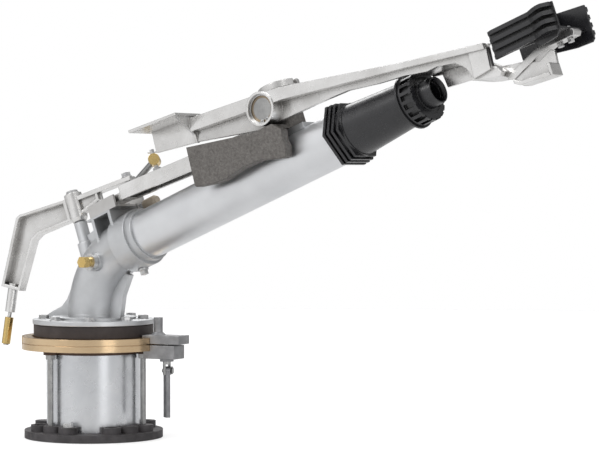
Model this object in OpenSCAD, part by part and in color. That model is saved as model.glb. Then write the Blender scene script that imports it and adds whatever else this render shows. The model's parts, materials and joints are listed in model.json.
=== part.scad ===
// Large impact sprinkler on a slewing stand: a 21 degree barrel, a drive arm with a ribbed vane,
// a trip lever with its tiller and pivot weight, and two trip stops clamped to a bronze ring.
// The origin is the centre of the base flange's underside. The barrel points along +X and up.

/* [Base flange] */
// Outer diameter of the base flange
flange_d = 200; // [190:1:215]
// Thickness of the flange disc
flange_t = 11; // [8:0.5:14]
// Height of the bolt bosses over the disc
boss_h = 9.5; // [6:0.5:12]
// Diameter of each bolt boss
boss_d = 28; // [25:0.5:29]
// Circle of the four drilled holes
bolt_circle = 160; // [158:0.5:164]
// Diameter of the drilled holes
bolt_hole_d = 18; // [14:0.5:19]
// Bore of the water inlet
inlet_d = 80; // [76:0.5:82]

/* [Bearing housing] */
// Outer diameter of the bearing housing
housing_d = 136; // [134:0.5:138]
// Wall of the bearing housing
housing_wall = 6; // [5:0.25:7]
// Length of the bearing housing
housing_len = 111; // [106:1:125]
// Diameter of the tie rods
rod_d = 8; // [6:0.5:8.5]
// Circle of the tie rods
rod_circle = 154; // [153:0.5:156]
// Thickness of the retainer plate
plate_t = 6; // [5:0.5:8]

/* [Bearings and sleeve] */
// Wall of the turning sleeve
sleeve_wall = 5.5; // [4:0.25:6]
// Width of each ball bearing
bearing_w = 18; // [16:0.5:20]
// Diameter of the bearing balls
ball_d = 9; // [8:0.25:9.5]
// Number of balls in one bearing
ball_count = 20; // [14:1:26]
// Height of the lower bearing over the flange disc
bearing_low = 19; // [19:0.5:24]

/* [Trip ring] */
// Outer diameter of the bronze trip ring
ring_d = 207; // [203:0.5:211]
// Height of the trip ring
ring_h = 18.5; // [17:0.5:20]
// Depth of the groove at mid height
groove_depth = 1.2; // [0.6:0.1:1.6]

/* [Turning hub] */
// Diameter of the dark hub ring
hub_ring_d = 173; // [170:0.5:178]
// Height of the hub ring
hub_ring_h = 16.5; // [14:0.5:20]
// Thickness of the flange gasket
gasket_t = 1; // [0.8:0.1:1.5]
// Diameter of the elbow's flange
elbow_flange_d = 176; // [172:0.5:182]
// Thickness of the elbow's flange
elbow_flange_t = 6.5; // [5:0.5:9]
// Circle of the elbow bolts
elbow_bolt_circle = 143.5; // [142:0.5:147]
// Number of elbow bolts
elbow_bolt_count = 8; // [6:1:8]

/* [Elbow and barrel] */
// Angle of the barrel over the horizon
trajectory = 21; // [18:0.5:24]
// Height where the barrel's axis crosses the swivel axis
axis_z = 253; // [250:1:262]
// Centreline radius of the elbow's bend
bend_r = 112; // [104:1:114]
// Bore of the waterway
bore_d = 62; // [58:0.5:63]
// Outer diameter of the elbow pipe
elbow_d = 73; // [71:0.5:75]
// Outer diameter of the barrel
barrel_d = 70; // [69:0.5:71]
// Distance from the axes' crossing to the barrel's front end
barrel_end = 496.5; // [490:0.5:502]
// Outer diameter of the socket collar
collar_d = 84; // [82:0.5:86]
// Length of the socket collar
collar_len = 31; // [28:0.5:34]

/* [Nozzle] */
// Size of the clamp nut across its corners
nut_d = 94; // [93:0.5:97]
// Length of the clamp nut
nut_len = 28; // [27:0.5:31]
// Length of the nozzle cone
cone_len = 96.5; // [92:0.5:100]
// Diameter of the cone's front end
cone_front_d = 59; // [56:0.5:62]
// Diameter of the thin flange at the cone's front end
cone_flange_d = 74; // [71:0.5:76]
// Diameter of the castellated cap
cap_d = 69; // [67:0.5:70]
// Length of the castellated cap
cap_len = 22; // [19:0.5:24]
// Outer diameter of the tip tube
tip_d = 40; // [39:0.5:42]
// Outer diameter of the tip's mouth
tip_front_d = 36; // [35:0.5:38]
// Length of the tip tube in front of the cap
tip_len = 19; // [16:0.5:24]
// Bore of the nozzle's mouth
mouth_d = 28; // [24:0.5:29]

/* [Post and trip lever] */
// Place of the post along the barrel's axis from the crossing, negative is behind
post_s = -4.5; // [-8:0.5:-2]
// Diameter of the post
post_d = 19; // [17:0.5:21]
// Height of the lever's hub over the barrel's axis
hub_low = 63.5; // [62:0.5:66]
// Length of the lever's hub
hub_len = 42; // [38:0.5:46]
// Diameter of the lever's hub
hub_d = 26; // [24:0.5:28]
// Turn of the lever from straight back, as it rests
lever_turn = 12; // [10:0.5:13]
// Width of the lever's rims
lever_w = 16; // [14:0.5:18]
// Reach of the lever's forward arm from the post to its bolt
lever_reach = 94.7; // [92.7:0.5:96.7]
// Diameter of the brass roller
roller_d = 12.6; // [11:0.2:14]

/* [Tiller and link] */
// Swing of the pivot frame out of the barrel's plane, as it rests
tiller_skew = 2; // [1.5:0.1:2.2]
// Width of the tiller bar
tiller_w = 28; // [26:0.5:30]
// Height of the tiller bar
tiller_h = 21; // [18:0.5:21.5]
// Wall of the tiller bar
tiller_wall = 4; // [3:0.25:5]
// Diameter of the link rod
link_d = 9; // [8:0.5:10]
// Length of the link between its two pins
link_len = 88.2; // [86:0.2:90]
// Height of the brass swivel over the barrel's axis
swivel_n = 91; // [90:0.5:94]

/* [Pivot frame] */
// Place of the kingpin along the barrel's axis
king_s = 414.5; // [410:0.5:418]
// Height of the drive arm's shaft over the barrel's axis
shaft_n = 70.5; // [70:0.25:74]
// Diameter of the kingpin
king_d = 20; // [18:0.5:22]
// Diameter of the pivot frame's hub
yoke_d = 44; // [42:0.5:45]
// Diameter of the cap on the pivot frame
pivot_cap_d = 58; // [54:0.5:60]
// Distance of the weight's face from the barrel's plane
weight_y = 55; // [53:0.5:57]

/* [Drive arm] */
// Diameter of the arm's shaft
shaft_d = 30; // [28:0.5:31]
// Outer diameter of the arm's hub
arm_hub_d = 46.6; // [46:0.2:48]
// Bore of the arm's hub
arm_bore_d = 40; // [39:0.25:41]
// Distance of the hub's front end from the barrel's plane
arm_hub_y = 57; // [55:0.5:59]
// Thickness of the arm's web
web_t = 6; // [5:0.5:7]
// Distance of the web's front face from the barrel's plane
web_y = 37; // [36:0.5:38]
// Reach of the rear wing in front of the web
wing_reach = 44; // [40:1:48]
// Thickness of the wing and its bulkhead
wing_t = 4; // [3:0.5:5]

/* [Vane] */
// Length of the ribbed vane
vane_len = 107; // [102:1:112]
// Half width of the vane's channel
vane_half = 33; // [30:0.5:36]
// Wall of the vane
vane_wall = 3; // [2.5:0.25:4]
// Height of the ribs
rib_h = 6; // [4:0.5:7]

/* [Trip stops] */
// Angle of the first trip stop round the ring
stop_a_angle = 12.5; // [5:0.5:20]
// Angle of the second trip stop round the ring
stop_b_angle = 135; // [125:1:140]
// Width of a trip stop
stop_w = 30; // [26:0.5:32]
// Distance of a trip stop's outer end from the swivel axis
stop_reach = 150; // [147:0.5:152]
// Distance of the clamp screw from the swivel axis
screw_r = 122; // [120:0.5:125]
// Diameter of the clamp screw
screw_d = 11.5; // [10:0.5:12]
// Length of the folding handle
handle_len = 73; // [68:1:80]

/* [Hidden] */
$fn = 96;

// Overlap that keeps a cut clean, and the gaps between moving and still pieces
eps = 0.1;
run_gap = 0.05;
move_gap = 0.3;

// Levels up the swivel axis
boss_top = flange_t + boss_h;
housing_top = flange_t + housing_len;
plate_top = housing_top + plate_t;
ring_top = plate_top + ring_h;
hub_ring_low = ring_top + move_gap;
hub_ring_top = hub_ring_low + hub_ring_h;
elbow_low = hub_ring_top + gasket_t;
elbow_flange_top = elbow_low + elbow_flange_t;
step_h = 3.5;
step_d = 122;

// Angles of the bosses: four groups of three, and the drilled ones among them
boss_turn = -28;
boss_step = 22.5;
rod_turn = 21;
ring_angles = [0, 120, 240];

// Radii of the bearings, from the inlet outwards
inlet_r = inlet_d / 2;
sleeve_in_r = inlet_r + 0.5;
sleeve_out_r = sleeve_in_r + sleeve_wall;
housing_in_r = housing_d / 2 - housing_wall;
race_mid_r = (sleeve_out_r + housing_in_r) / 2;
race_gap = 5.5;
bearing_z_low = flange_t + bearing_low;
bearing_z_top = housing_top - bearing_w - plate_t;

// Turn of the elbow, the level where its bend starts, and the bend's length along the barrel
turn = 90 - trajectory;
bend_len = bend_r * tan(turn / 2);
bend_z = axis_z - bend_len;
pipe_bore_r = bore_d / 2;

// Places along the barrel
collar_end = bend_len + collar_len;
step_end = collar_end + 11;
nut_end = barrel_end + nut_len;
cone_end = nut_end + cone_len;
cap_end = cone_end + cap_len;
tip_end = cap_end + tip_len;
barrel_r = barrel_d / 2;

module ring(outer_r, inner_r, h) {
  difference() {
    cylinder(r = outer_r, h = h);
    translate([0, 0, -eps]) cylinder(r = inner_r, h = h + 2 * eps);
  }
}

module around(angles, radius) {
  for (a = angles) rotate([0, 0, a]) translate([radius, 0, 0]) children();
}

// A hexagonal head or nut
module hex(across_flats, h) {
  cylinder(d = across_flats / cos(30), h = h, $fn = 6);
}

// Puts its children in the barrel's frame: x along the barrel, z square to it, y across
module on_barrel(s = 0, n = 0) {
  translate([0, 0, axis_z]) rotate([0, -trajectory, 0]) translate([s, 0, n]) children();
}

// A solid of revolution along the barrel
module along_barrel(s, len, r1, r2) {
  on_barrel(s) rotate([0, 90, 0]) cylinder(r1 = r1, r2 = r2, h = len);
}

// An outline in the plane of the barrel, given as [s, n], from y_low to y_high
module slab(points, y_low, y_high) {
  translate([0, y_high, 0]) rotate([90, 0, 0]) linear_extrude(y_high - y_low) polygon(points);
}

/* Base */

module boss_circle(radius, angles, d, h) {
  around(angles, radius) cylinder(d = d, h = h);
}

group_angles = [0, 90, 180, 270];
outer_bosses = [for (g = group_angles, k = [0, 2]) boss_turn + g + k * boss_step];
mid_bosses = [for (g = group_angles) boss_turn + g + boss_step];
drilled = [for (g = group_angles) boss_turn + g];
mid_circle = 152.4;
screw_boss_angles = [boss_turn - 45, boss_turn + 135];

module base_flange() {
  color("dimgray") difference() {
    union() {
      cylinder(d = flange_d, h = flange_t);
      boss_circle(bolt_circle / 2, outer_bosses, boss_d, boss_top);
      boss_circle(mid_circle / 2, mid_bosses, boss_d, boss_top);
      boss_circle(rod_circle / 2, [for (a = ring_angles) a + rod_turn], rod_d + 10, boss_top);
    }
    translate([0, 0, -eps]) cylinder(d = inlet_d, h = boss_top + 2 * eps);
    translate([0, 0, flange_t]) cylinder(d = housing_d, h = boss_h + eps);
    around(drilled, bolt_circle / 2) translate([0, 0, -eps]) cylinder(d = bolt_hole_d, h = boss_top + 2 * eps);
    around(screw_boss_angles, bolt_circle / 2) translate([0, 0, flange_t]) cylinder(d = 8, h = boss_h + eps);
    around([for (a = ring_angles) a + rod_turn], rod_circle / 2)
      translate([0, 0, flange_t]) cylinder(d = rod_d, h = boss_h + eps);
  }
}

module flange_screws() {
  color("gainsboro") around(screw_boss_angles, bolt_circle / 2) translate([0, 0, flange_t]) {
    cylinder(d = 8, h = boss_h);
    translate([0, 0, boss_h]) hex(13, 5.3);
    translate([0, 0, boss_h]) cylinder(d = 15.5, h = 0.8);
  }
}

module bearing_housing() {
  color("lightsteelblue") translate([0, 0, flange_t]) difference() {
    cylinder(d = housing_d, h = housing_len);
    translate([0, 0, -eps]) cylinder(r = housing_in_r - 4, h = housing_len + 2 * eps);
    translate([0, 0, -eps]) cylinder(r = housing_in_r, h = bearing_low - 4 + eps);
    translate([0, 0, bearing_low]) cylinder(r = housing_in_r, h = housing_len);
  }
}

module tie_rods() {
  color("silver") around([for (a = ring_angles) a + rod_turn], rod_circle / 2)
    translate([0, 0, flange_t]) cylinder(d = rod_d, h = housing_len + plate_t - 1);
}

module tie_rod_nuts() {
  color("silver") around([for (a = ring_angles) a + rod_turn], rod_circle / 2)
    translate([0, 0, housing_top - 6.5]) difference() {
      hex(13, 6.5);
      translate([0, 0, -eps]) cylinder(d = rod_d, h = 6.5 + 2 * eps);
    }
}

module retainer_plate() {
  color("saddlebrown") difference() {
    union() {
      translate([0, 0, housing_top]) cylinder(r = housing_d / 2 + 2, h = plate_t);
      around([for (a = ring_angles) a + rod_turn], rod_circle / 2)
        translate([0, 0, housing_top]) cylinder(d = rod_d + 12, h = plate_t);
      translate([0, 0, bearing_z_top + bearing_w]) cylinder(r = housing_in_r - run_gap, h = plate_t);
    }
    translate([0, 0, bearing_z_top + bearing_w - eps]) cylinder(r = race_mid_r + race_gap / 2, h = 3 * plate_t);
    around([for (a = ring_angles) a + rod_turn], rod_circle / 2)
      translate([0, 0, housing_top - eps]) cylinder(d = rod_d, h = plate_t + 2 * eps);
  }
}

module trip_ring() {
  rim = 14;
  color("peru") translate([0, 0, plate_top]) difference() {
    ring(ring_d / 2, sleeve_out_r + 4, ring_h);
    translate([0, 0, ring_h / 2 - groove_depth / 2]) ring(ring_d, ring_d / 2 - groove_depth, groove_depth);
    translate([0, 0, ring_h / 2 + 2]) ring(ring_d / 2 - rim, sleeve_out_r + 12, ring_h);
  }
}

module lower_seal() {
  color("black") translate([0, 0, flange_t]) ring(housing_in_r, sleeve_out_r + move_gap, bearing_low - 6);
}

/* Bearings and sleeve */

module ball_groove() {
  rotate_extrude() translate([race_mid_r, bearing_w / 2]) circle(d = ball_d + 0.4);
}

module bearing_outer_races() {
  color("silver") for (z = [bearing_z_low, bearing_z_top]) translate([0, 0, z]) difference() {
    ring(housing_in_r - run_gap, race_mid_r + race_gap / 2, bearing_w);
    ball_groove();
  }
}

module bearing_spacer() {
  low = bearing_z_low + bearing_w;
  color("gray") translate([0, 0, low])
    ring(housing_in_r - run_gap, housing_in_r - 3.5, bearing_z_top - low);
}

module bearing_inner_races() {
  color("silver") for (z = [bearing_z_low, bearing_z_top]) translate([0, 0, z]) difference() {
    ring(race_mid_r - race_gap / 2, sleeve_out_r, bearing_w);
    ball_groove();
  }
}

module bearing_balls() {
  color("white") for (z = [bearing_z_low, bearing_z_top]) translate([0, 0, z + bearing_w / 2])
    around([for (k = [0 : ball_count - 1]) k * 360 / ball_count], race_mid_r) sphere(d = ball_d);
}

module swivel_sleeve() {
  low = flange_t + 1;
  color("gray") difference() {
    union() {
      translate([0, 0, low]) cylinder(r = sleeve_out_r, h = hub_ring_top - low);
      translate([0, 0, bearing_z_low - 2]) cylinder(r = sleeve_out_r + 2.5, h = 2);
    }
    translate([0, 0, low - eps]) cylinder(r = sleeve_in_r, h = hub_ring_top);
  }
}

module hub_ring() {
  color("dimgray") translate([0, 0, hub_ring_low]) difference() {
    ring(hub_ring_d / 2, sleeve_out_r, hub_ring_h);
    around(elbow_bolt_angles, elbow_bolt_circle / 2) translate([0, 0, 2]) cylinder(d = 8, h = hub_ring_h);
  }
}

module flange_gasket() {
  color("black") translate([0, 0, hub_ring_top]) difference() {
    ring(hub_ring_d / 2 - 3, sleeve_in_r, gasket_t);
    around(elbow_bolt_angles, elbow_bolt_circle / 2) translate([0, 0, -eps]) cylinder(d = 8, h = 2 * gasket_t);
  }
}

/* Elbow */

elbow_bolt_angles = [for (k = [0 : elbow_bolt_count - 1]) -5.5 + k * 360 / elbow_bolt_count];

module bend(r) {
  translate([bend_r, 0, bend_z]) rotate([90, 0, 0]) rotate([0, 0, 180 - turn])
    rotate_extrude(angle = turn) translate([bend_r, 0]) circle(r = r);
}

// The side boss that takes the coupling: its place on the elbow's left side
boss_x = 38;
boss_z = 255;
boss_y = 40;
plate_half = 33;
guide_n = 49.5;
rib_t = 5;
rib_s = [52, 86];
bore_step = 0.4;

module elbow() {
  color("silver") difference() {
    union() {
      translate([0, 0, elbow_low]) cylinder(d = elbow_flange_d, h = elbow_flange_t);
      translate([0, 0, elbow_flange_top - eps]) cylinder(d = step_d, h = step_h);
      translate([0, 0, elbow_low + 1]) cylinder(d = elbow_d + 1, h = bend_z - elbow_low + 1);
      bend(elbow_d / 2);
      along_barrel(bend_len - 2, collar_len + 2, collar_d / 2, collar_d / 2);
      along_barrel(collar_end, 11, barrel_r + 3.5, barrel_r + 3.5);
      // Rear and front gussets
      rotate([0, 0, 17]) slab([[-elbow_flange_d / 2 + 6, elbow_flange_top - 1], [-20, elbow_flange_top - 1],
        [-20, 222], [-34, 216], [-41.5, 198.5], [-50, 188], [-66, 180]], -3, 3);
      slab([[20, elbow_flange_top], [56, elbow_flange_top], [62, 206], [76, 236], [60, 240], [30, 215]], -4, 4);
      // Cross ribs under the guide channel
      for (s = rib_s) on_barrel(s - rib_t, 0) translate([0, -plate_half, 0]) cube([rib_t, 2 * plate_half, guide_n - 3]);
      on_barrel(rib_s[0] - rib_t - 8, guide_n - 3) translate([0, -plate_half, 0])
        cube([rib_s[1] - rib_s[0] + rib_t + 8, 2 * plate_half, 3]);
      // Foot of the post and the web that joins it
      on_barrel(post_s, 5) cylinder(d = post_d + 6, h = 26);
      slab_on(post_s, [[0, 10], [44, 20], [44, 46], [16, 40], [0, 38]], -3, 3);
      // Boss of the side coupling
      translate([boss_x, -boss_y, boss_z]) rotate([-90, 0, 0]) cylinder(d = 27, h = 24);
    }
    translate([0, 0, elbow_low - eps])
      cylinder(r1 = sleeve_in_r, r2 = pipe_bore_r - bore_step, h = bend_z - elbow_low + 1);
    bend(pipe_bore_r);
    along_barrel(bend_len - 1, 14, pipe_bore_r - bore_step, pipe_bore_r - bore_step);
    along_barrel(bend_len + 8, collar_len + 20, barrel_r, barrel_r);
    around(elbow_bolt_angles, elbow_bolt_circle / 2) translate([0, 0, elbow_low - eps])
      cylinder(d = 8.4, h = elbow_flange_t + 2 * eps);
    translate([boss_x, -boss_y - eps, boss_z]) rotate([-90, 0, 0]) cylinder(d = 15, h = boss_y);
    on_barrel(post_s, -2) cylinder(d = post_d, h = 60);
    on_barrel(post_s + 26, 34) rotate([90, 0, 0]) cylinder(d = 4, h = 10, center = true, $fn = 24);
    belly_hole();
  }
}

module slab_on(s, points, y_low, y_high) {
  on_barrel(s, 0) slab(points, y_low, y_high);
}

// The drain plug's seat, under the collar
module belly_place() {
  on_barrel(bend_len + 12, -collar_d / 2) rotate([180, 0, 0]) children();
}

module belly_hole() {
  belly_place() translate([0, 0, -12]) cylinder(d = 10, h = 24);
}

module elbow_bolts() {
  color("lightgray") around(elbow_bolt_angles, elbow_bolt_circle / 2) {
    translate([0, 0, hub_ring_low + 3]) cylinder(d = 8, h = elbow_flange_top - hub_ring_low - 3);
    translate([0, 0, elbow_flange_top]) difference() {
      hex(13, 5.3);
      translate([0, 0, 4.6]) cylinder(d = 8, h = 1);
    }
    translate([0, 0, elbow_flange_top]) ring(8, 6, 0.6);
  }
}

module side_coupling() {
  color("lightgray") translate([boss_x, -boss_y, boss_z]) rotate([-90, 0, 0]) {
    translate([0, 0, -9]) difference() {
      union() {
        cylinder(d = 24, h = 9);
        translate([0, 0, 9]) cylinder(d = 15, h = 12);
      }
      translate([0, 0, -eps]) cylinder(d = 10, h = 30);
    }
  }
}

module brass_plug() {
  color("goldenrod") translate([boss_x, -boss_y - 9, boss_z]) rotate([-90, 0, 0]) {
    cylinder(d = 10, h = 14);
    translate([0, 0, -5]) cylinder(d = 14, h = 5);
    translate([0, 0, -15]) hex(15, 10);
  }
}

module belly_plug() {
  color("gray") belly_place() {
    translate([0, 0, -6]) cylinder(d = 10, h = 8);
    cylinder(d = 15, h = 2.5);
    translate([-4, -4, 2]) cube([8, 8, 7]);
  }
}

/* Barrel and nozzle */

module barrel_tube() {
  start = bend_len + 8;
  color("silver") difference() {
    union() {
      along_barrel(start, barrel_end - start + 20, barrel_r, barrel_r);
      along_barrel(barrel_end - 3, 3, barrel_r + 4, barrel_r + 4);
    }
    along_barrel(start - eps, barrel_end, pipe_bore_r, pipe_bore_r);
  }
}

module stream_straightener() {
  plates = 3;
  len = 120;
  reach = pipe_bore_r - 0.1;
  color("gray") on_barrel(bend_len + 30) rotate([0, 90, 0])
    for (k = [0 : plates - 1]) rotate([0, 0, 25 + k * 180 / plates])
      translate([-reach, -0.8, 0]) cube([2 * reach, 1.6, len]);
}

nut_plates = [nut_d, nut_d - 1, nut_d - 3, nut_d - 8];

module nozzle_nut() {
  pitch = nut_len / len(nut_plates);
  color("black") on_barrel(barrel_end) rotate([0, 90, 0]) difference() {
    union() {
      cylinder(d = nut_d - 20, h = nut_len);
      for (k = [0 : len(nut_plates) - 1]) translate([0, 0, k * pitch]) rotate([0, 0, 90])
        cylinder(d = nut_plates[k], h = pitch - 3, $fn = 6);
    }
    translate([0, 0, -eps]) cylinder(r = barrel_r, h = 24);
    translate([0, 0, 23]) cylinder(r = pipe_bore_r + 1, h = nut_len);
  }
}

module nozzle_cone() {
  color("black") on_barrel(nut_end) rotate([0, 90, 0]) difference() {
    union() {
      cylinder(d1 = nut_d - 22, d2 = cone_front_d, h = cone_len);
      translate([0, 0, cone_len - 3]) cylinder(d = cone_flange_d, h = 3);
    }
    translate([0, 0, -eps]) cylinder(r1 = pipe_bore_r, r2 = tip_d / 2, h = cone_len + 2 * eps);
  }
}

module nozzle_cap() {
  windows = 18;
  bore = mouth_d + 4;
  len = cap_len + tip_len;
  color("black") on_barrel(cone_end) rotate([0, 90, 0]) difference() {
    union() {
      cylinder(d = cap_d, h = cap_len);
      cylinder(d = tip_d, h = cap_len + 1);
      translate([0, 0, cap_len + 0.5]) cylinder(d1 = tip_d, d2 = tip_front_d, h = tip_len - 0.5);
    }
    translate([0, 0, -eps]) cylinder(d = bore, h = len - 5);
    translate([0, 0, len - 6]) cylinder(d1 = mouth_d, d2 = tip_front_d - 3, h = 6.2);
    // Recess round the tip, and the windows and notches of the rim
    translate([0, 0, cap_len - 2]) ring(cap_d / 2 - 8, tip_d / 2 + 1.5, 3);
    for (k = [0 : windows - 1]) rotate([0, 0, (k + 0.5) * 360 / windows]) {
      translate([cap_d / 2 - 4.5, -3.6, 4]) cube([8, 7.2, cap_len - 8]);
      translate([cap_d / 2 - 2, -1.8, cap_len - 6]) cube([8, 3.6, 8]);
    }
  }
}

module nozzle_ring() {
  outer = mouth_d + 4;
  len = cap_len + tip_len - 12;
  color("gray") on_barrel(cone_end + 4) rotate([0, 90, 0]) difference() {
    cylinder(d = outer, h = len);
    translate([0, 0, -eps]) cylinder(d1 = outer - 1, d2 = mouth_d, h = len + 2 * eps);
  }
}

/* Post, guide channel and pedestal: fixed on the swivel */

spindle_d = 14;

module pivot_post() {
  color("silver") on_barrel(post_s, -2) {
    cylinder(d = post_d, h = hub_low);
    cylinder(d = spindle_d, h = hub_low + hub_len + 3.8);
  }
}

module post_cap() {
  color("gainsboro") on_barrel(post_s, hub_low + hub_len + move_gap) difference() {
    union() {
      cylinder(d = 20, h = 1.6);
      cylinder(d = 17, h = 4.5);
    }
    translate([0, 0, -eps]) cylinder(d = spindle_d, h = 1.6);
  }
}

guide_w = 18;
guide_len = 53;
guide_s = 45.5;
tongue_w = 26;
tongue_y = (king_s - guide_s) * sin(tiller_skew);
guide_front = tongue_y + tongue_w / 2 + 2;
guide_back = -guide_front;

module guide_channel() {
  wall = 3.5;
  color("silver") on_barrel(guide_s, guide_n) difference() {
    union() {
      translate([0, -guide_front - wall, 0]) cube([guide_len, guide_front + wall - guide_back + wall, 3]);
      translate([0, -guide_front - wall, 0]) cube([guide_len, wall, guide_w]);
      translate([0, -guide_back, 0]) cube([guide_len, wall, guide_w]);
      translate([guide_len - eps, bumper_y - 9, bumper_n - guide_n - 5]) cube([tab_t + eps, 18, 11]);
    }
    for (x = guide_screw_x, y = guide_screw_y) translate([x, y, -eps]) cylinder(d = 5, h = 4);
  }
}

guide_screw_x = [6, 47];
guide_screw_y = [-18, 0];

module guide_screws() {
  color("gainsboro") on_barrel(guide_s, guide_n + 3) for (x = guide_screw_x, y = guide_screw_y)
    translate([x, y, 0]) cylinder(d = 8, h = 2);
}

bumper_y = 20;
bumper_n = 46.5;
bumper_d = 16;
tab_t = 3;

module on_bumper(s) {
  on_barrel(guide_s + guide_len + s, bumper_n) translate([0, bumper_y, 0]) rotate([0, 90, 0]) children();
}

module travel_bumper() {
  color("tan") on_bumper(tab_t + 7.5) {
    cylinder(d = bumper_d, h = 20);
    translate([0, 0, 20]) cylinder(d1 = bumper_d, d2 = bumper_d - 5, h = 4);
  }
}

module bumper_bolt() {
  color("gainsboro") on_bumper(tab_t) {
    hex(13, 6);
    translate([0, 0, 6]) cylinder(d = bumper_d, h = 1.5);
  }
}

pedestal_top = 39.3;
yoke_low = pedestal_top + move_gap;
yoke_top = 94.5;

module pivot_pedestal() {
  foot_w = 36;
  color("silver") on_barrel(king_s, 0) difference() {
    union() {
      translate([-31, -foot_w / 2, 28]) cube([66, foot_w, pedestal_top - 28]);
      translate([0, 0, 30]) cylinder(d = king_d, h = yoke_top + 1.5 - 30);
    }
    translate([-60, 0, 0]) rotate([0, 90, 0]) cylinder(r = barrel_r, h = 120);
    translate([24, 8, 0]) cylinder(d = 5, h = 60, $fn = 32);
    translate([24, -8, 0]) cylinder(d = 5, h = 60, $fn = 32);
  }
}

/* Trip lever */

lever_n = 96;
roller_len = 39;
roller_pin_d = 5.5;
limb_outline = [
  [-8, 100.5], [-92, 107], [-99, 104.5], [-154, 18], [-126, 1], [-81, 63.5], [-69, 68.5], [-8, 68.5]
];
limb_pocket = [
  [-15, 97], [-92, 103.5], [-96, 101.5], [-148, 19.5], [-127, 6.5], [-84, 67.5], [-70, 72.5], [-15, 72]
];
lever_end_n = 89.5;

module on_lever() {
  on_barrel(post_s, 0) rotate([0, 0, lever_turn]) children();
}

module trip_lever() {
  color("gainsboro") difference() {
    on_lever() {
      translate([0, 0, hub_low + 5]) cylinder(d = hub_d, h = hub_len - 5);
      translate([0, 0, hub_low]) cylinder(d1 = post_d + 1.5, d2 = hub_d, h = 5);
      // Rear limb: a web with a rim all round
      slab(limb_outline, lever_w / 2 - 4, lever_w / 2 - 1);
      difference() {
        slab(limb_outline, -lever_w / 2, lever_w / 2);
        slab(limb_pocket, -lever_w, lever_w);
      }
      // Forward arm: a flange with a pocketed web under it
      slab([[8, lever_n + 3], [lever_reach + 9, lever_n], [lever_reach + 9, lever_end_n], [8, lever_end_n + 3]], -8, 8);
      slab([[8, 94], [48, 94], [46, 82], [8, 71]], -2, 2);
      slab([[8, 75], [40, 84], [40, 81], [8, 71]], -7, 7);
      slab([[40, 94], [44, 94], [44, 81], [40, 81]], -7, 7);
      roller_place() {
        translate([0, 0, roller_len + 8]) cylinder(d = 14.5, h = 42);
        translate([0, 0, -1.5]) cylinder(d = roller_pin_d, h = roller_len + 12);
        translate([0, 0, -2]) cylinder(d = 8, h = 1.7);
      }
    }
    on_lever() {
      translate([0, 0, hub_low - 6]) cylinder(d = spindle_d + 2 * run_gap, h = hub_len + 8);
      translate([lever_reach, 0, lever_end_n - eps]) cylinder(d = 8, h = 20);
    }
  }
}

// The roller's axis at the end of the rear limb, pointing up the limb
module roller_place() {
  translate([-177.5, 0, -63]) rotate([0, 26.9, 0]) children();
}

module lever_bolt() {
  color("gainsboro") on_lever() translate([lever_reach, 0, 0]) {
    translate([0, 0, link_low - 11.5]) cylinder(d = 8, h = lever_n + 11.5 - link_low + 2);
    translate([0, 0, lever_n + 1.6]) hex(13, 5.5);
    translate([0, 0, lever_n + 0.6]) cylinder(d = 16, h = 1);
    translate([0, 0, link_low - 11.8]) hex(13, 5.5);
  }
}

module trip_roller() {
  color("goldenrod") on_lever() roller_place() difference() {
    cylinder(d = roller_d, h = roller_len);
    translate([0, 0, -eps]) cylinder(d = roller_pin_d + 2 * run_gap, h = roller_len + 1);
  }
}

/* Link: from the lever's bolt to the pin in the tiller's slot */

link_low = 80;
bolt_s = post_s + lever_reach * cos(lever_turn);
bolt_y = lever_reach * sin(lever_turn);
link_angle = -18.4;
pin_s = bolt_s + link_len * cos(link_angle);
pin_y = bolt_y + link_len * sin(link_angle);

module on_link() {
  on_barrel(bolt_s, 0) translate([0, bolt_y, 0]) rotate([0, 0, link_angle]) children();
}

module link_rod() {
  slope = atan((swivel_n - link_low) / link_len);
  color("silver") on_link() difference() {
    union() {
      translate([0, 0, link_low - 6]) cylinder(d = 17, h = 11);
      translate([0, 0, link_low]) rotate([0, 90 - slope, 0]) cylinder(d = link_d, h = link_len - 4);
    }
    translate([0, 0, link_low - 20]) cylinder(d = 8 + 2 * run_gap, h = 60);
    trunnion();
  }
}

module trunnion() {
  translate([link_len, 0, swivel_n]) rotate([0, 0, 56]) rotate([90, 0, 0])
    cylinder(d = 16.5, h = 18, center = true);
}

module brass_swivel() {
  color("goldenrod") on_link() difference() {
    trunnion();
    translate([link_len, 0, swivel_n - 20]) cylinder(d = 6, h = 40);
  }
}

module link_pin() {
  color("gainsboro") on_link() translate([link_len, 0, 0]) {
    translate([0, 0, tiller_top_n - 9]) cylinder(d = 6, h = swivel_n + 16 - tiller_top_n + 9);
    translate([0, 0, tiller_top_n + 1]) hex(10, 5);
    translate([0, 0, swivel_n + 12]) rotate([90, 0, 0]) cylinder(d = 2, h = 14, center = true);
  }
}

/* Pivot frame: tiller bar, weight, cap and the arm's shaft */

tiller_low_rear = 56.3;
tiller_low_front = 40;
tiller_rear = 106;
tiller_front = 397;
tiller_top_n = tiller_low_rear + tiller_h - (pin_s - tiller_rear) / (tiller_front - tiller_rear)
  * (tiller_low_rear - tiller_low_front);

module on_tiller() {
  on_barrel(king_s, 0) rotate([0, 0, tiller_skew]) children();
}

module on_arm() {
  on_tiller() translate([0, 0, shaft_n]) children();
}

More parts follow.
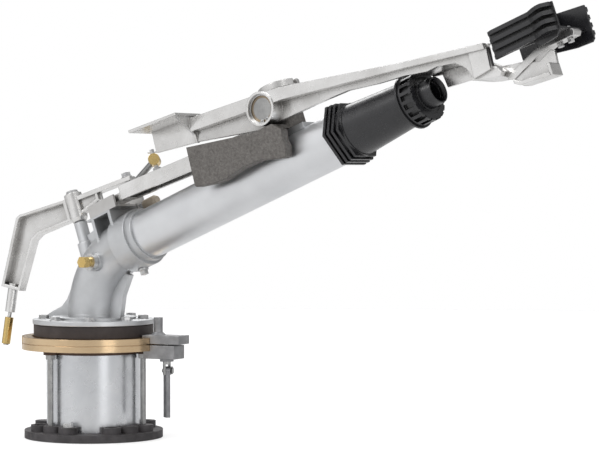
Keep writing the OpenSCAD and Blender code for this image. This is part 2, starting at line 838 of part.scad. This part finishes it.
module tiller_bar() {
  r0 = tiller_rear - king_s;
  r1 = tiller_front - king_s;
  b0 = tiller_low_rear;
  b1 = tiller_low_front;
  tongue = guide_s + 4 - king_s;
  tongue_top = link_low - 11.8 - 2 * move_gap;
  color("silver") on_tiller() difference() {
    union() {
      slab([[r0, b0], [r1, b1], [r1, b1 + tiller_h], [r0, b0 + tiller_h]], -tiller_w / 2, tiller_w / 2);
      slab([[tongue, b0 + 1], [r0 + 8, b0 + 1], [r0 + 8, tongue_top], [tongue, tongue_top - 0.4]],
        -tongue_w / 2, tongue_w / 2);
    }
    // Open underside of the channel
    slab([[r0 + 10, b0 - 9], [r1 - 40, b1 - 5], [r1 - 40, b1 + tiller_h - tiller_wall],
      [r0 + 10, b0 + tiller_h - tiller_wall]], -tiller_w / 2 + tiller_wall, tiller_w / 2 - tiller_wall);
    // Slot for the link's pin
    for (x = [-9, 9]) translate([pin_s - king_s + x + 4, 0, b1]) cylinder(d = 9, h = 60);
    translate([pin_s - king_s - 5, -4.5, b1]) cube([18, 9, 60]);
    translate([0, 0, yoke_low]) cylinder(d = yoke_d, h = 60);
  }
}

// The weight's face as [s, n] from the kingpin
weight_face = [
  [-139, 69], [-142.5, 15], [-140.5, 12], [-110, 5.5], [-86, 3.5], [-83, 5], [-55, 8], [-24, 6.3], [-3, 0],
  [11.5, -4.5], [18, -4], [22, 9], [20, 19], [23, 31.7], [10, 45], [-24, 45]
];
weight_t = 14;

module pivot_weight() {
  color("dimgray") on_tiller() difference() {
    union() {
      slab(weight_face, -weight_y, weight_t - weight_y);
      translate([-24, -weight_y + 1, yoke_low]) cube([34, weight_y - 1 - tiller_w / 2 - move_gap, 5.4]);
      translate([0, 0, yoke_low]) cylinder(d = yoke_d, h = yoke_top - yoke_low);
      translate([0, 0, shaft_n]) rotate([90, 0, 0]) cylinder(d = 38, h = web_y - web_t - 2);
    }
    translate([0, 0, yoke_low - eps]) cylinder(d = king_d + 2 * run_gap, h = 80);
    translate([0, 0, shaft_n]) rotate([90, 0, 0]) translate([0, 0, king_d / 2 + 1]) cylinder(d = shaft_d, h = 60);
  }
}

module pivot_cap() {
  color("silver") on_tiller() translate([0, 0, yoke_top]) difference() {
    union() {
      translate([0, 0, 2]) cylinder(d = pivot_cap_d, h = 9);
      cylinder(d = 34, h = 3);
      translate([0, 0, 11]) cylinder(d = 26, h = 2);
    }
    translate([0, 0, -eps]) cylinder(d = king_d + 2 * run_gap, h = 2.5);
    translate([-pivot_cap_d / 2 - 2, -4, 4]) cube([7, 8, 10]);
    translate([pivot_cap_d / 2 - 5, -4, 4]) cube([7, 8, 10]);
    translate([0, 0, 9]) ring(pivot_cap_d / 2 - 5, 15, 4);
  }
}

shaft_front = arm_hub_y - 6;

module arm_shaft() {
  color("gainsboro") on_arm() rotate([90, 0, 0]) translate([0, 0, king_d / 2 + 1.2])
    cylinder(d = shaft_d, h = shaft_front - king_d / 2 - 1.2);
}

/* Drive arm: outlines as [s, n] from its shaft */

finger_n = -77.5;
finger_t = 9;

arm_web = [
  [-204, 46], [-206, 17], [-131, 4], [-19, -22], [7.5, -22], [82, -23.5], [131, -26], [180, -36], [224, -42.5],
  [233, -45], [257, -50.5], [274, -50.4], [301, -57], [314, -69], [321, -87], [351, -86], [353, -56], [356, -53], [229, -29.5], [39, 13], [0, 18],
  [-114, 33], [-121, 40]
];
rail_side = [
  [-126, 17], [39, -2], [230, -35.5], [352, -59], [352, -51], [230, -27.5], [39, 15.5], [-126, 35.5]
];
rail_plan = [[-126, -35], [-126, -52], [39, -56], [230, -48], [352, -44], [352, -35]];

wing_s = [-208, -121];
wing_n = [46, 38];

module drive_arm() {
  back = web_y - web_t;
  color("gainsboro") on_arm() difference() {
    union() {
      slab(arm_web, -web_y, -back);
      // The top rail, tapered in plan
      intersection() {
        slab(rail_side, -arm_hub_y - 5, -web_y + 1.5);
        translate([0, 0, -80]) linear_extrude(140) polygon(rail_plan);
      }
      rotate([90, 0, 0]) translate([0, 0, back - 1.5]) cylinder(d = arm_hub_d, h = arm_hub_y - back + 1.5);
      // Rear wing and its bulkhead
      slab([[wing_s[0], wing_n[0]], [wing_s[1], wing_n[1]], [wing_s[1], wing_n[1] + wing_t],
        [wing_s[0], wing_n[0] + wing_t]], -web_y - wing_reach, -back + 4);
      translate([-131, 0, 3]) rotate([0, 14, 0]) translate([-wing_t, 0, 0]) rotate([90, 0, 90])
        linear_extrude(wing_t) polygon([[-web_y - wing_reach, 38], [-back - 2, 38], [-back - 2, 0],
          [-web_y, 0], [-web_y - 4, 11]]);
      // End block
      slab([[323, -87.5], [350, -85.5], [353, -57], [326, -52]], -web_y - 4, -back + 1);
      jet_tunnel();
      vane_carrier();
    }
    rotate([90, 0, 0]) translate([0, 0, 20]) cylinder(d = arm_bore_d, h = 60);
    rotate([90, 0, 0]) translate([0, 0, arm_hub_y - 5.5]) cylinder(d = arm_bore_d + 2.4, h = 1.7);
    translate([vane_s, vane_y, 0]) vane_screw_places() translate([0, 0, -20]) cylinder(d = 5.2, h = 40);
  }
}

// Roof and far wall that join the web to the spoon, over and beyond the jet
tunnel_y = 13;

module jet_tunnel() {
  roof = [
    [234, -40], [234, -45.5], [274, -49.5], [300, -56], [313, -68], [321, -84], [328, -84], [320, -63],
    [304, -50], [276, -43]
  ];
  far = [
    [235, -41], [235, -47], [250, -50], [252, -68.5], [296, -74], [334, -82], [340, -76], [321, -60],
    [304, -51], [276, -44]
  ];
  slab(roof, -web_y + 2, tunnel_y - 2);
  slab(far, tunnel_y - 5, tunnel_y);
}

// The spoon and finger under the vane, that carry it in the jet
module vane_carrier() {
  neck = [[316, -87], [330, -92], [357, -98], [362, -93], [356, -84], [322, -70]];
  wall = [
    [350, -90], [356, -98], [368, -108], [376, -118], [384, -121], [429, -126], [433, -93], [428, -90],
    [408, -98], [380, -88], [352, -82]
  ];
  finger = [
    [358, -102], [363, -97], [408, -82], [424, finger_n], [466, finger_n], [469, finger_n - 4],
    [466, finger_n - finger_t], [430, finger_n - finger_t], [410, -91], [366, -106]
  ];
  foot = [[376, -116], [384, -121], [429, -126], [428, -121], [384, -116], [376, -110]];
  slab(neck, -web_y + 1, tunnel_y - 1);
  slab(wall, -19, -14);
  slab(finger, vane_y - 9, vane_y + 9);
  slab(foot, -40, -14.5);
  translate([428, -39, -126]) cube([4, 24, 16]);
}

module arm_bushing() {
  color("peru") on_arm() rotate([90, 0, 0]) translate([0, 0, web_y - web_t])
    ring(arm_bore_d / 2, shaft_d / 2 + run_gap, shaft_front - web_y + web_t);
}

module arm_circlip() {
  color("silver") on_arm() rotate([90, 0, 0]) translate([0, 0, arm_hub_y - 5.4]) difference() {
    union() {
      ring(arm_bore_d / 2 + 1.1, arm_bore_d / 2 - 2, 1.5);
      for (a = [-105, -75]) rotate([0, 0, a]) translate([arm_bore_d / 2 - 3, 0, 0]) cylinder(d = 6, h = 1.5);
    }
    rotate([0, 0, -90]) translate([0, -2, -eps]) cube([30, 4, 3]);
    for (a = [-105, -75]) rotate([0, 0, a]) translate([arm_bore_d / 2 - 3.4, 0, -eps])
      cylinder(d = 2, h = 3, $fn = 24);
  }
}

/* Vane: a ribbed black channel that the jet passes through */

vane_s = 364.5;
vane_y = -12;
vane_near_len = 100;
roof_len = 66;
vane_top = -40;
far_side = [
  [0, -77], [37, -85], [80, -93], [vane_len - 4, -94.5], [vane_len, -91], [vane_len, vane_top - 6],
  [roof_len + 2, vane_top - 1], [6, vane_top - 1], [0, vane_top - 6]
];
near_side = [
  [0, -77], [60, -81], [68, -88], [vane_near_len - 8, -86], [vane_near_len, -78],
  [vane_near_len, vane_top - 2], [6, vane_top - 1], [0, vane_top - 6]
];
vane_screw_s = [440, 456];
strap_s = 428;
strap_len = 36;

module vane_rib(side, n, len) {
  flare = rib_h + 9;
  translate([0, 0, n]) linear_extrude(5.2) polygon([
    [1, side * (vane_half - 1)], [1, side * (vane_half + 3)], [8, side * (vane_half + rib_h)],
    [len - 34, side * (vane_half + rib_h)], [len - 24, side * (vane_half + flare - 3)],
    [len - 16, side * (vane_half + flare)], [len - 9, side * (vane_half + flare)],
    [len - 1, side * (vane_half + rib_h)], [len - 1, side * (vane_half - 1)]]);
}

module drive_vane() {
  ribs = 4;
  inner = 2 * vane_half - 2;
  color("black") on_arm() translate([vane_s, vane_y, 0]) difference() {
    union() {
      slab(near_side, -vane_half, -vane_half + vane_wall);
      slab(far_side, vane_half - vane_wall, vane_half);
      translate([2, -vane_half + 1, vane_top - 1 - vane_wall]) cube([roof_len, inner, vane_wall]);
      for (k = [0 : ribs - 1]) {
        vane_rib(-1, vane_top - 8 - k * 10.5, vane_near_len);
        vane_rib(1, vane_top - 13 - k * 10.5, vane_len);
      }
      // Cross strap that lies on the finger's end
      translate([strap_s - vane_s, -vane_half + 1, finger_n]) cube([strap_len, inner, vane_wall]);
    }
    vane_screw_places() translate([0, 0, -20]) cylinder(d = 5.2, h = 40);
  }
}

module vane_screw_places() {
  for (x = vane_screw_s) translate([x - vane_s, 0, finger_n]) children();
}

module vane_screws() {
  color("gainsboro") on_arm() translate([vane_s, vane_y, 0]) vane_screw_places() {
    translate([0, 0, -13]) cylinder(d = 5, h = 13 + vane_wall);
    translate([0, 0, vane_wall]) cylinder(d = 9, h = 3);
    translate([0, 0, -14]) hex(8, 4);
  }
}

/* Trip stops */

jaw_low = plate_top - 11;
jaw_mid = plate_top + ring_h / 2;
jaw_top = ring_top + 4;

module on_stop(angle) {
  rotate([0, 0, angle]) children();
}

// Wedge shaped notch that grips the ring's rim
module ring_notch() {
  difference() {
    translate([0, 0, plate_top]) cylinder(r = ring_d / 2 + move_gap, h = ring_h);
    translate([0, 0, plate_top - 1]) cylinder(r = ring_d / 2 - 8, h = ring_h + 2);
  }
}

module upper_jaw() {
  post_r = 108;
  difference() {
    union() {
      translate([90, -stop_w / 2, jaw_mid + 1]) cube([stop_reach - 90, stop_w, jaw_top - jaw_mid - 1]);
      translate([post_r, 0, jaw_top - 1]) cylinder(d = 13, h = 26);
      translate([post_r, 0, jaw_top - 1]) cylinder(d1 = 24, d2 = 14, h = 5);
    }
    translate([0, 0, plate_top - 1]) cylinder(r = ring_d / 2 + 0.2, h = ring_h + 1.2);
    translate([0, 0, hub_ring_low - 1]) cylinder(r = 88.5 + 2, h = 40);
    translate([screw_r, 0, jaw_mid - 2]) cylinder(d = screw_d, h = 13);
  }
}

module lower_jaw() {
  difference() {
    union() {
      translate([92, -stop_w / 2, jaw_low]) cube([stop_reach - 8 - 92, stop_w, jaw_mid - 1 - jaw_low]);
      translate([screw_r, 0, jaw_low - 4]) cylinder(d = screw_d + 8, h = 8);
    }
    translate([0, 0, plate_top - 0.2]) cylinder(r = ring_d / 2 + 0.2, h = ring_h);
    translate([screw_r, 0, jaw_low - 5]) cylinder(d = screw_d + 0.8, h = 40);
  }
}

pivot_z = 100;

module clamp_screw() {
  difference() {
    translate([screw_r, 0, pivot_z - 6]) cylinder(d = screw_d, h = jaw_top - 4 - pivot_z + 6);
    translate([screw_r, 0, pivot_z]) rotate([0, 0, 50]) {
      translate([-3.3, -20, -7]) cube([6.6, 40, 16]);
    }
  }
  translate([screw_r, 0, pivot_z]) rotate([0, 0, 50]) rotate([0, 90, 0]) {
    cylinder(d = 5, h = screw_d + 2, center = true);
    translate([0, 0, screw_d / 2]) hex(10, 3);
  }
}

module handle() {
  translate([screw_r, 0, pivot_z]) rotate([0, 0, 50]) difference() {
    union() {
      translate([-3, -6, 6 - handle_len]) cube([6, 12, handle_len - 6]);
      rotate([0, 90, 0]) cylinder(d = 12, h = 6, center = true);
    }
    rotate([0, 90, 0]) cylinder(d = 5 + 2 * run_gap, h = 10, center = true);
  }
}

module stop_a_jaws() { color("darkgray") on_stop(stop_a_angle) upper_jaw(); }
module stop_a_lower_jaw() { color("darkgray") on_stop(stop_a_angle) lower_jaw(); }
module stop_a_screw() { color("silver") on_stop(stop_a_angle) clamp_screw(); }
module stop_a_handle() { color("gray") on_stop(stop_a_angle) handle(); }
module stop_b_jaws() { color("darkgray") on_stop(stop_b_angle) upper_jaw(); }
module stop_b_lower_jaw() { color("darkgray") on_stop(stop_b_angle) lower_jaw(); }
module stop_b_screw() { color("silver") on_stop(stop_b_angle) clamp_screw(); }
module stop_b_handle() { color("gray") on_stop(stop_b_angle) handle(); }

base_flange();
flange_screws();
bearing_housing();
tie_rods();
tie_rod_nuts();
retainer_plate();
trip_ring();
lower_seal();
bearing_outer_races();
bearing_spacer();
swivel_sleeve();
bearing_inner_races();
bearing_balls();
hub_ring();
flange_gasket();
elbow();
elbow_bolts();
side_coupling();
brass_plug();
belly_plug();
barrel_tube();
stream_straightener();
nozzle_nut();
nozzle_cone();
nozzle_cap();
nozzle_ring();
pivot_post();
post_cap();
guide_channel();
guide_screws();
travel_bumper();
bumper_bolt();
pivot_pedestal();
trip_lever();
lever_bolt();
trip_roller();
link_rod();
brass_swivel();
link_pin();
tiller_bar();
pivot_weight();
pivot_cap();
arm_shaft();
drive_arm();
arm_bushing();
arm_circlip();
drive_vane();
vane_screws();
stop_a_jaws();
stop_a_lower_jaw();
stop_a_screw();
stop_a_handle();
stop_b_jaws();
stop_b_lower_jaw();
stop_b_screw();
stop_b_handle();
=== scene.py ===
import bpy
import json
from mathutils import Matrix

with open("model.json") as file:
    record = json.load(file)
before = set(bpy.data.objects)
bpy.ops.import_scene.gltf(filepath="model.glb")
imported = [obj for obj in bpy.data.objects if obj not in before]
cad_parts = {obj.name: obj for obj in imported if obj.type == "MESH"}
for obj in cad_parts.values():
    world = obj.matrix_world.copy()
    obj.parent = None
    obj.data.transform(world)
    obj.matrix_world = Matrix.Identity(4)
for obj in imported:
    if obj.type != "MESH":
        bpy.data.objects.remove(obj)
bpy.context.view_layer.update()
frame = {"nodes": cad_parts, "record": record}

import json
import math

import bmesh
import bpy
from mathutils import Matrix, Vector

scene = bpy.context.scene
scene.view_settings.view_transform = "Standard"

# Sizes, in metres, watts and degrees where nothing else is said

# Surfaces
SHARP_ANGLE = 32
PATCH_EDGES = (0.32, 0.68)
PATCH_DETAIL, ROUGH_DETAIL, GRAIN_DETAIL = 5.0, 6.0, 3.0
NOISE_ROUGHNESS = 0.6
ROUGH_PATCH_RATIO = 2.3
# Painted shade: the base colour is darkened towards a dark brown in the corners and recesses that ambient
# occlusion finds within this reach
PAINTED_SHADE_REACH = 0.021
PAINTED_SHADE_SPAN = (0.25, 0.85)
PAINTED_SHADE_COLOUR = (0.12, 0.11, 0.1, 1)
PAINTED_SHADE_SAMPLES, BEVEL_SAMPLES = 6, 4

# Lamps: place, size and power, all aimed at the middle of the object
MIDDLE = (0.3, 0, 0.3)
LAMPS = {
    "key": ((-0.6, -2.4, 2.6), (1.6, 1.6), 40),
    "fill": ((3.0, -1.2, 0.9), (1.2, 2.2), 16),
    "back": ((-1.6, 2.0, 2.2), (2.0, 1.2), 26),
    "top": ((0.4, 0.2, 3.0), (2.6, 1.4), 20),
}

# Surroundings, as brightness by the angle from the photograph's side of the object: softboxes left and
# right, dark behind, and an even pale ceiling over them
CAMERA_SIDE = 50.5
ROUND = [
    (-180, 0.08), (-118, 0.1), (-100, 0.7), (-88, 1.05), (-48, 1.0), (-28, 0.6), (-8, 0.34), (10, 0.2),
    (26, 0.34), (50, 0.46), (84, 0.5), (98, 0.14), (115, 0.08), (180, 0.08),
]
COOL_TINT = 1.01
CEILING_SPAN = (0.45, 0.9)
CEILING_COLOUR = (0.8, 0.8, 0.81, 1)
STUDIO_STRENGTH = 0.78
WHITE = (1, 1, 1, 1)
WORLD_GLOSSY, FLOOR_GLOSSY = 0.3, 0.4

# Floor
FLOOR_RADIUS = 3.5
FLOOR_PLACE = (0.3, 0, -0.0005)
FLOOR_COLOUR = (0.55, 0.55, 0.55, 1)
FLOOR_GLOW = 0.62

# Camera, from the photograph's perspective: the picture's size, the flange's centre and the horizon in
# pixels, the distance in millimetres
WIDE, HIGH = 599, 465
BASE_PX = (93.9, 436.3)
HORIZON_PX = 165.0
MM_PER_PX = 1.449
DISTANCE_MM = 3700.0
AZIMUTH = 39.5
SENSOR_MM = 36
CLIP_END = 50


# Shader nodes

def tex_noise(nt, coord, scale, detail):
    """Noise over the object's own coordinates."""
    n = nt.nodes.new("ShaderNodeTexNoise")
    n.inputs["Scale"].default_value = scale
    n.inputs["Detail"].default_value = detail
    n.inputs["Roughness"].default_value = NOISE_ROUGHNESS
    nt.links.new(coord, n.inputs["Vector"])
    return n.outputs["Fac"]


def ramp(nt, fac, stops):
    """A colour ramp with stops of (position, colour)."""
    r = nt.nodes.new("ShaderNodeValToRGB")
    els = r.color_ramp.elements
    els[0].position, els[0].color = stops[0][0], (*stops[0][1], 1)
    els[1].position, els[1].color = stops[-1][0], (*stops[-1][1], 1)
    for pos, col in stops[1:-1]:
        e = els.new(pos)
        e.color = (*col, 1)
    nt.links.new(fac, r.inputs["Fac"])
    return r.outputs["Color"]


def to_range(nt, fac, low, high, span):
    """fac within span, mapped to low and high."""
    m = nt.nodes.new("ShaderNodeMapRange")
    m.inputs["From Min"].default_value, m.inputs["From Max"].default_value = span
    m.inputs["To Min"].default_value, m.inputs["To Max"].default_value = low, high
    nt.links.new(fac, m.inputs["Value"])
    return m.outputs["Result"]


def math_node(nt, kind, *values):
    """A Math node of floats and sockets."""
    n = nt.nodes.new("ShaderNodeMath")
    n.operation = kind
    for k, v in enumerate(values):
        if isinstance(v, float):
            n.inputs[k].default_value = v
        else:
            nt.links.new(v, n.inputs[k])
    return n.outputs["Value"]


def shows_white(nt, glossy):
    """1 for the rays that show the white background: camera, transmission and, in part, glossy."""
    path = nt.nodes.new("ShaderNodeLightPath")
    seen = math_node(nt, "ADD", path.outputs["Is Camera Ray"], path.outputs["Is Transmission Ray"])
    shine = math_node(nt, "MULTIPLY", path.outputs["Is Glossy Ray"], glossy)
    return math_node(nt, "MINIMUM", math_node(nt, "ADD", seen, shine), 1.0)


# Materials

NOISE_MIDDLE = (0.3, 0.7)


def with_painted_shade(nt, tone, painted_shade):
    """tone with painted shade: darker in the corners and recesses that ambient occlusion finds."""
    nook = nt.nodes.new("ShaderNodeAmbientOcclusion")
    nook.samples = PAINTED_SHADE_SAMPLES
    nook.inputs["Distance"].default_value = PAINTED_SHADE_REACH
    shaded_tone = nt.nodes.new("ShaderNodeMixRGB")
    shaded_tone.blend_type = "MULTIPLY"
    nt.links.new(to_range(nt, nook.outputs["AO"], painted_shade, 0.0, PAINTED_SHADE_SPAN), shaded_tone.inputs["Fac"])
    nt.links.new(tone, shaded_tone.inputs["Color1"])
    shaded_tone.inputs["Color2"].default_value = PAINTED_SHADE_COLOUR
    return shaded_tone.outputs["Color"]


def relief(nt, coord, grain, bump, depth, edge):
    """A grain over edges that look softened by a radius of edge."""
    bev = nt.nodes.new("ShaderNodeBevel")
    bev.samples = BEVEL_SAMPLES
    bev.inputs["Radius"].default_value = edge
    b = nt.nodes.new("ShaderNodeBump")
    b.inputs["Strength"].default_value = bump
    b.inputs["Distance"].default_value = depth
    nt.links.new(tex_noise(nt, coord, grain, GRAIN_DETAIL), b.inputs["Height"])
    nt.links.new(bev.outputs["Normal"], b.inputs["Normal"])
    return b.outputs["Normal"]


def material(name, dark, light, metallic, rough, patch=18.0, grain=900.0, bump=0.15, depth=0.0004,
             edge=0.0007, specular=0.5, painted_shade=0.0):
    """A procedural surface: two tones in patches, a grain in its relief, softened edges."""
    m = bpy.data.materials.new(name)
    m.use_nodes = True
    nt = m.node_tree
    nt.nodes.clear()
    out = nt.nodes.new("ShaderNodeOutputMaterial")
    p = nt.nodes.new("ShaderNodeBsdfPrincipled")
    nt.links.new(p.outputs["BSDF"], out.inputs["Surface"])
    coord = nt.nodes.new("ShaderNodeTexCoord").outputs["Object"]
    spots = tex_noise(nt, coord, patch, PATCH_DETAIL)
    tone = ramp(nt, spots, list(zip(PATCH_EDGES, (dark, light))))
    # painted shade: the tone darkens in corners and recesses, at the strength this surface gives
    if painted_shade:
        tone = with_painted_shade(nt, tone, painted_shade)
    nt.links.new(tone, p.inputs["Base Color"])
    p.inputs["Metallic"].default_value = metallic
    p.inputs["Specular IOR Level"].default_value = specular
    wear = tex_noise(nt, coord, patch * ROUGH_PATCH_RATIO, ROUGH_DETAIL)
    nt.links.new(to_range(nt, wear, *rough, NOISE_MIDDLE), p.inputs["Roughness"])
    nt.links.new(relief(nt, coord, grain, bump, depth, edge), p.inputs["Normal"])
    return m


# One surface for each material slot of the record
# Some surfaces also set how strongly painted shade darkens their corners and recesses
SURFACES = {
    "flange_iron": dict(dark=(0.055, 0.051, 0.053), light=(0.105, 0.098, 0.102), metallic=0.25,
                        rough=(0.5, 0.72), patch=40, grain=420, bump=0.5, depth=0.0006),
    "zinc_steel": dict(dark=(0.45, 0.45, 0.46), light=(0.7, 0.7, 0.69), metallic=1.0,
                       rough=(0.22, 0.4), patch=160, grain=1500, bump=0.05),
    "housing_steel": dict(dark=(0.6, 0.615, 0.64), light=(0.74, 0.75, 0.765), metallic=1.0,
                          rough=(0.2, 0.34), patch=12, grain=1400, bump=0.025, edge=0.001),
    "rod_steel": dict(dark=(0.3, 0.3, 0.3), light=(0.46, 0.46, 0.45), metallic=1.0, rough=(0.25, 0.38),
                      patch=60, grain=1500, bump=0.05),
    "brown_plate": dict(dark=(0.05, 0.028, 0.018), light=(0.11, 0.062, 0.04), metallic=0.3,
                        rough=(0.4, 0.6)),
    "ring_bronze": dict(dark=(0.66, 0.48, 0.29), light=(0.8, 0.61, 0.39), metallic=1.0,
                        rough=(0.16, 0.26), patch=12, grain=1600, bump=0.08, edge=0.001),
    "seal_rubber": dict(dark=(0.012, 0.012, 0.012), light=(0.03, 0.03, 0.03), metallic=0.0,
                        rough=(0.6, 0.8)),
    "race_steel": dict(dark=(0.4, 0.4, 0.41), light=(0.56, 0.56, 0.57), metallic=1.0, rough=(0.2, 0.3)),
    "hub_dark": dict(dark=(0.042, 0.034, 0.033), light=(0.072, 0.059, 0.057), metallic=0.2,
                     rough=(0.45, 0.65), patch=30, grain=700, bump=0.25),
    "cast_aluminium": dict(dark=(0.57, 0.58, 0.59), light=(0.71, 0.72, 0.735), metallic=0.9,
                           rough=(0.38, 0.52), patch=14, grain=1300, bump=0.14, depth=0.0002,
                           edge=0.0018, painted_shade=0.5),
    "barrel_aluminium": dict(dark=(0.72, 0.73, 0.745), light=(0.82, 0.83, 0.845), metallic=0.92,
                             rough=(0.3, 0.42), patch=9, grain=1500, bump=0.06, edge=0.001),
    "plug_brass": dict(dark=(0.66, 0.46, 0.16), light=(0.8, 0.6, 0.26), metallic=1.0,
                       rough=(0.2, 0.32), patch=30, grain=1500, bump=0.08),
    "black_plastic": dict(dark=(0.008, 0.008, 0.01), light=(0.018, 0.018, 0.021), metallic=0.0,
                          rough=(0.2, 0.34), patch=24, grain=1100, bump=0.1, depth=0.0002, edge=0.001,
                          specular=0.7, painted_shade=0.9),
    "guide_steel": dict(dark=(0.5, 0.49, 0.47), light=(0.62, 0.61, 0.6), metallic=1.0,
                        rough=(0.3, 0.42)),
    "bumper_urethane": dict(dark=(0.4, 0.33, 0.25), light=(0.52, 0.45, 0.36), metallic=0.0,
                            rough=(0.5, 0.7), patch=60, grain=400, bump=0.3),
    "bright_aluminium": dict(dark=(0.66, 0.65, 0.635), light=(0.86, 0.855, 0.845), metallic=0.97,
                             rough=(0.18, 0.34), patch=15, grain=900, bump=0.05, depth=0.0002,
                             edge=0.0014, painted_shade=0.7),
    "weight_iron": dict(dark=(0.125, 0.117, 0.109), light=(0.215, 0.203, 0.191), metallic=0.55,
                        rough=(0.42, 0.7), patch=260, grain=330, bump=0.8, depth=0.001, edge=0.0026,
                        painted_shade=0.6),
    "bush_bronze": dict(dark=(0.3, 0.24, 0.17), light=(0.42, 0.34, 0.25), metallic=1.0,
                        rough=(0.35, 0.5)),
    "stop_aluminium": dict(dark=(0.27, 0.27, 0.275), light=(0.42, 0.42, 0.43), metallic=0.85,
                           rough=(0.4, 0.6), patch=40, grain=600, bump=0.3, depth=0.0004, edge=0.0014),
    "handle_steel": dict(dark=(0.2, 0.2, 0.21), light=(0.34, 0.34, 0.35), metallic=0.9,
                         rough=(0.3, 0.5), patch=60, grain=900, bump=0.15),
}


def smooth(obj):
    """Smooth shading that keeps real edges sharp."""
    for poly in obj.data.polygons:
        poly.use_smooth = True
    bpy.context.view_layer.update()
    obj.data.set_sharp_from_angle(angle=math.radians(SHARP_ANGLE))


def dress_all():
    """Every piece gets its slot's surface."""
    made = {name: material(name, **spec) for name, spec in SURFACES.items()}
    for part in frame["record"]["subparts"]:
        piece = frame["nodes"][part["node"]]
        piece.data.materials.clear()
        piece.data.materials.append(made[part["material_slot"]])
        smooth(piece)


# Studio

def area(name, place, size, power):
    """A soft lamp aimed at the middle of the object."""
    data = bpy.data.lights.new(name, "AREA")
    data.shape = "RECTANGLE"
    data.size, data.size_y = size
    data.energy = power
    lamp = bpy.data.objects.new(name, data)
    scene.collection.objects.link(lamp)
    lamp.location = place
    lamp.rotation_euler = (Vector(MIDDLE) - Vector(place)).to_track_quat("-Z", "Y").to_euler()


def surroundings(nt):
    """The studio's colour for a direction: ROUND at the sides, the ceiling above."""
    coord = nt.nodes.new("ShaderNodeTexCoord").outputs["Generated"]
    axes = nt.nodes.new("ShaderNodeSeparateXYZ")
    nt.links.new(coord, axes.inputs["Vector"])
    angle = math_node(nt, "ARCTAN2", axes.outputs["Y"], axes.outputs["X"])
    turned = math_node(nt, "ADD", angle, math.radians(CAMERA_SIDE))
    wrapped = math_node(nt, "WRAP", turned, math.pi, -math.pi)
    part_of_turn = to_range(nt, wrapped, 0.0, 1.0, (-math.pi, math.pi))
    sides = ramp(nt, part_of_turn, [((a + 180) / 360, (v, v, v * COOL_TINT)) for a, v in ROUND])
    mix = nt.nodes.new("ShaderNodeMixRGB")
    nt.links.new(to_range(nt, axes.outputs["Z"], 0.0, 1.0, CEILING_SPAN), mix.inputs["Fac"])
    nt.links.new(sides, mix.inputs["Color1"])
    mix.inputs["Color2"].default_value = CEILING_COLOUR
    return mix.outputs["Color"]


def build_world():
    """White for the rays that show the background, the studio for the rest."""
    world = bpy.data.worlds.new("studio")
    scene.world = world
    world.use_nodes = True
    nt = world.node_tree
    nt.nodes.clear()
    studio = nt.nodes.new("ShaderNodeBackground")
    nt.links.new(surroundings(nt), studio.inputs["Color"])
    studio.inputs["Strength"].default_value = STUDIO_STRENGTH
    white = nt.nodes.new("ShaderNodeBackground")
    white.inputs["Color"].default_value = WHITE
    white.inputs["Strength"].default_value = 1.0
    mix = nt.nodes.new("ShaderNodeMixShader")
    nt.links.new(shows_white(nt, WORLD_GLOSSY), mix.inputs["Fac"])
    nt.links.new(studio.outputs["Background"], mix.inputs[1])
    nt.links.new(white.outputs["Background"], mix.inputs[2])
    out = nt.nodes.new("ShaderNodeOutputWorld")
    nt.links.new(mix.outputs["Shader"], out.inputs["Surface"])


def floor_material():
    """A pale floor that keeps the shadow and shows as white to the background's rays."""
    m = bpy.data.materials.new("floor")
    m.use_nodes = True
    nt = m.node_tree
    nt.nodes.clear()
    diffuse = nt.nodes.new("ShaderNodeBsdfDiffuse")
    diffuse.inputs["Color"].default_value = FLOOR_COLOUR
    glow = nt.nodes.new("ShaderNodeEmission")
    glow.inputs["Color"].default_value = WHITE
    strength = math_node(nt, "MULTIPLY", shows_white(nt, FLOOR_GLOSSY), FLOOR_GLOW)
    nt.links.new(strength, glow.inputs["Strength"])
    both = nt.nodes.new("ShaderNodeAddShader")
    nt.links.new(diffuse.outputs["BSDF"], both.inputs[0])
    nt.links.new(glow.outputs["Emission"], both.inputs[1])
    out = nt.nodes.new("ShaderNodeOutputMaterial")
    nt.links.new(both.outputs["Shader"], out.inputs["Surface"])
    return m


def build_floor():
    """A round floor under the flange."""
    bm = bmesh.new()
    bmesh.ops.create_circle(bm, cap_ends=True, segments=64, radius=FLOOR_RADIUS)
    mesh = bpy.data.meshes.new("floor")
    bm.to_mesh(mesh)
    bm.free()
    floor = bpy.data.objects.new("floor", mesh)
    floor.location = FLOOR_PLACE
    scene.collection.objects.link(floor)
    mesh.materials.append(floor_material())


def build_camera():
    """The photograph's camera: it looks level at the azimuth, pitched so that the horizon is at its pixel."""
    turn = math.radians(AZIMUTH)
    focal_px = DISTANCE_MM / MM_PER_PX
    pitch = math.atan((HIGH / 2 - HORIZON_PX) / focal_px)
    upright = Vector((0, 0, 1))
    right = Vector((math.cos(turn), math.sin(turn), 0))
    level = Vector((-math.sin(turn), math.cos(turn), 0))
    ahead = level * math.cos(pitch) - upright * math.sin(pitch)
    up = level * math.sin(pitch) + upright * math.cos(pitch)
    across = (BASE_PX[0] - WIDE / 2) / focal_px
    above = -(BASE_PX[1] - HIGH / 2) / focal_px
    spot = -DISTANCE_MM / 1000 * (ahead + across * right + above * up)
    data = bpy.data.cameras.new("camera")
    data.sensor_width = SENSOR_MM
    data.lens = focal_px * SENSOR_MM / WIDE
    data.clip_end = CLIP_END
    camera = bpy.data.objects.new("camera", data)
    camera.matrix_world = Matrix((
        (right.x, up.x, -ahead.x, spot.x),
        (right.y, up.y, -ahead.y, spot.y),
        (right.z, up.z, -ahead.z, spot.z),
        (0, 0, 0, 1)))
    scene.collection.objects.link(camera)
    scene.camera = camera


dress_all()
for name, (place, size, power) in LAMPS.items():
    area(name, place, size, power)
build_world()
build_floor()
build_camera()
